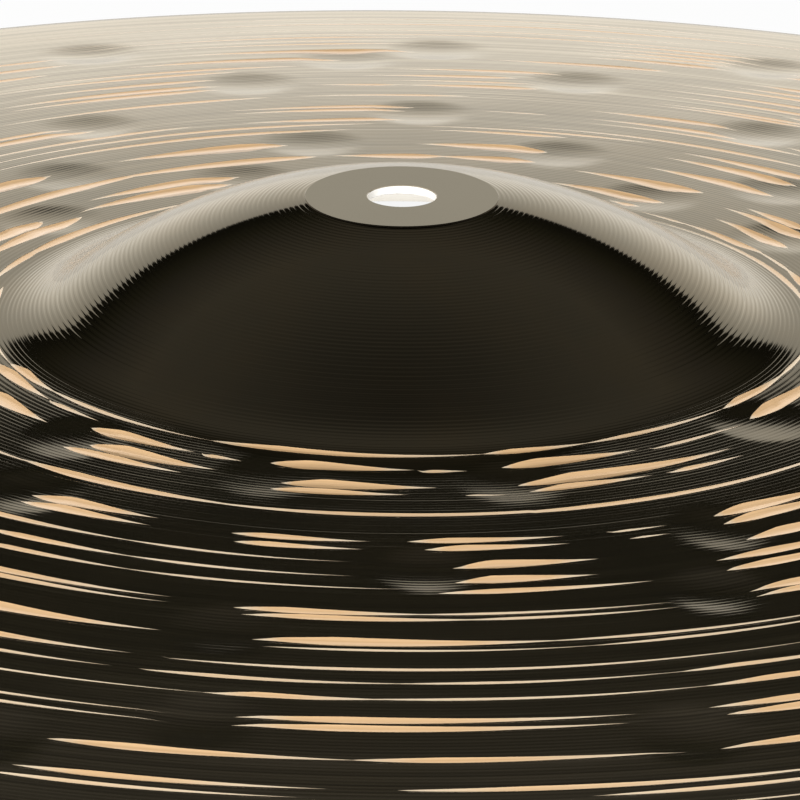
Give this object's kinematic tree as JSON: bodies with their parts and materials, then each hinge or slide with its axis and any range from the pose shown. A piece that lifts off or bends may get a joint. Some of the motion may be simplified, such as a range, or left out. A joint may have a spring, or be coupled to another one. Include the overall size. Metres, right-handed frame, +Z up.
{
  "type": "crash cymbal",
  "caption": "Thin round bronze cymbal with a domed bell, a flat land round its centre hole and a gently arched, hammered and lathe-turned bow; it hangs on a stand and is struck.",
  "frame": {"origin": "centre of the circle on which the rim rests", "axes": "+Z up along the hole's axis, out of the land on top of the bell; X and Y are level, and the picture is taken from the -Y side"},
  "size_m": [0.457, 0.457, 0.0354],
  "materials": {
    "dark_bronze": "dark polished patina with fine lathe grooves and bare bronze streaks"
  },
  "bodies": {
    "root": {"cymbal": "dark_bronze"}
  },
  "joints": []
}
